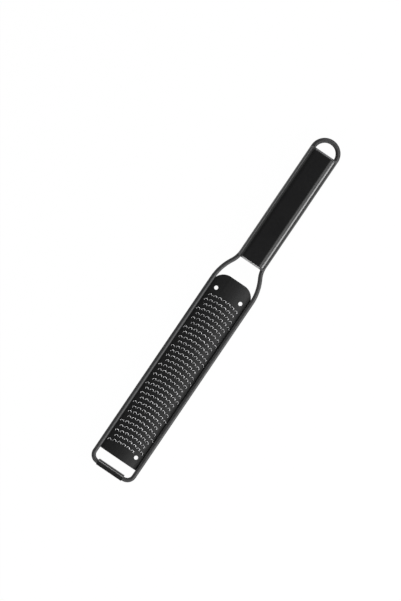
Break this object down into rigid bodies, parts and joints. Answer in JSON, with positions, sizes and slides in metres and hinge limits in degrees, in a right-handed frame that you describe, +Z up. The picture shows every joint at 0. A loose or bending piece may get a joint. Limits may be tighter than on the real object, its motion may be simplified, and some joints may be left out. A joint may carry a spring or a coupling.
{
  "type": "rasp zester",
  "caption": "Hand rasp for zest and hard cheese: a bowed toothed blade on a bent wire frame, with a flat moulded handle, a hanging loop and a rubber tip foot.",
  "frame": {"origin": "under the middle of the part's length and width, level with the handle's underside and the foot's sole", "axes": "+X across, to the right with the teeth up and the handle away; +Y along, from the tip foot to the hanging loop; +Z up, out of the toothed side"},
  "size_m": [0.0416, 0.3252, 0.013],
  "materials": {
    "coated_rod": "satin black coating on steel rod",
    "coated_blade": "black non-stick coating, bare bright steel on the tooth edges",
    "handle_plastic": "satin black moulding",
    "cap_plastic": "satin black moulding",
    "core_plastic": "as moulded grey",
    "screw_steel": "bright",
    "foot_rubber": "matt"
  },
  "bodies": {
    "root": {"frame_rod": "coated_rod", "hang_loop": "coated_rod", "blade": "coated_blade", "weld_beads": "coated_rod", "handle_top_shell": "handle_plastic", "handle_bottom_shell": "handle_plastic", "handle_core": "core_plastic", "handle_front_cap": "cap_plastic", "handle_rear_cap": "cap_plastic", "handle_screws": "screw_steel", "tip_foot": "foot_rubber"}
  },
  "joints": []
}
